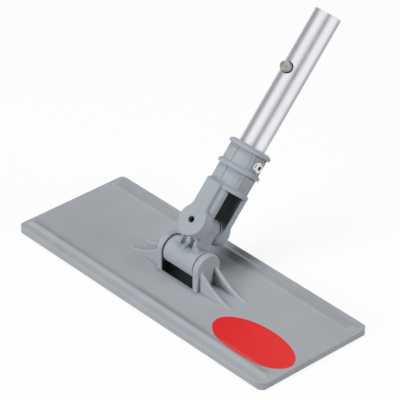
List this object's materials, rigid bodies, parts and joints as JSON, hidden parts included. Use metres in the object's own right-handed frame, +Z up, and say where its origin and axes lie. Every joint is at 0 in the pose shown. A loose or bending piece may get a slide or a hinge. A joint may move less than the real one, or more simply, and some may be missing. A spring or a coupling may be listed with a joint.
{
  "type": "swivel pad holder head",
  "caption": "Flat oblong plate with raised side rails and a hook underside, carrying a two-way swivel joint, a forked ribbed collar and a stub tube with a snap button for a pole.",
  "frame": {"origin": "middle of the hook sheet's underside, on the floor", "axes": "+X along the plate, +Y the way the handle leans at rest, +Z up"},
  "size_m": [0.254, 0.1852, 0.17],
  "materials": {
    "grey_plastic": "moulded satin",
    "hook_sheet": "moulded hook pile",
    "pin_steel": "drawn, zinc plated",
    "tube_aluminium": "mill finish, drawn",
    "rivet_aluminium": "as formed",
    "button_steel": "plated",
    "spring_steel": "as rolled"
  },
  "bodies": {
    "plate": {"base_plate": "grey_plastic", "grip_sheet": "hook_sheet", "axle_pin": "pin_steel"},
    "knuckle": {"swivel_knuckle": "grey_plastic"},
    "handle": {"handle_socket": "grey_plastic", "fork_pin": "pin_steel", "adapter_tube": "tube_aluminium", "tube_rivets": "rivet_aluminium", "rivet_mandrels": "spring_steel", "button_spring": "spring_steel"},
    "button": {"snap_button": "button_steel"}
  },
  "joints": [
    {"name": "lean", "type": "hinge", "parent": "plate", "child": "knuckle", "pos_m": [0, 0, 0.0205], "axis": [1, 0, 0], "range_deg": [-33, 117]},
    {"name": "tilt", "type": "hinge", "parent": "knuckle", "child": "handle", "pos_m": [0, 0.01606, 0.03834], "axis": [0, 0.7431, -0.6691], "range_deg": [-75, 75]},
    {"name": "button_press", "type": "slide", "parent": "handle", "child": "button", "axis": [0, 0.7431, -0.6691], "range_m": [0, 0.0055], "stiffness_N_per_m": 900, "springref_m": -0.003, "deforming": ["button_spring"]}
  ]
}
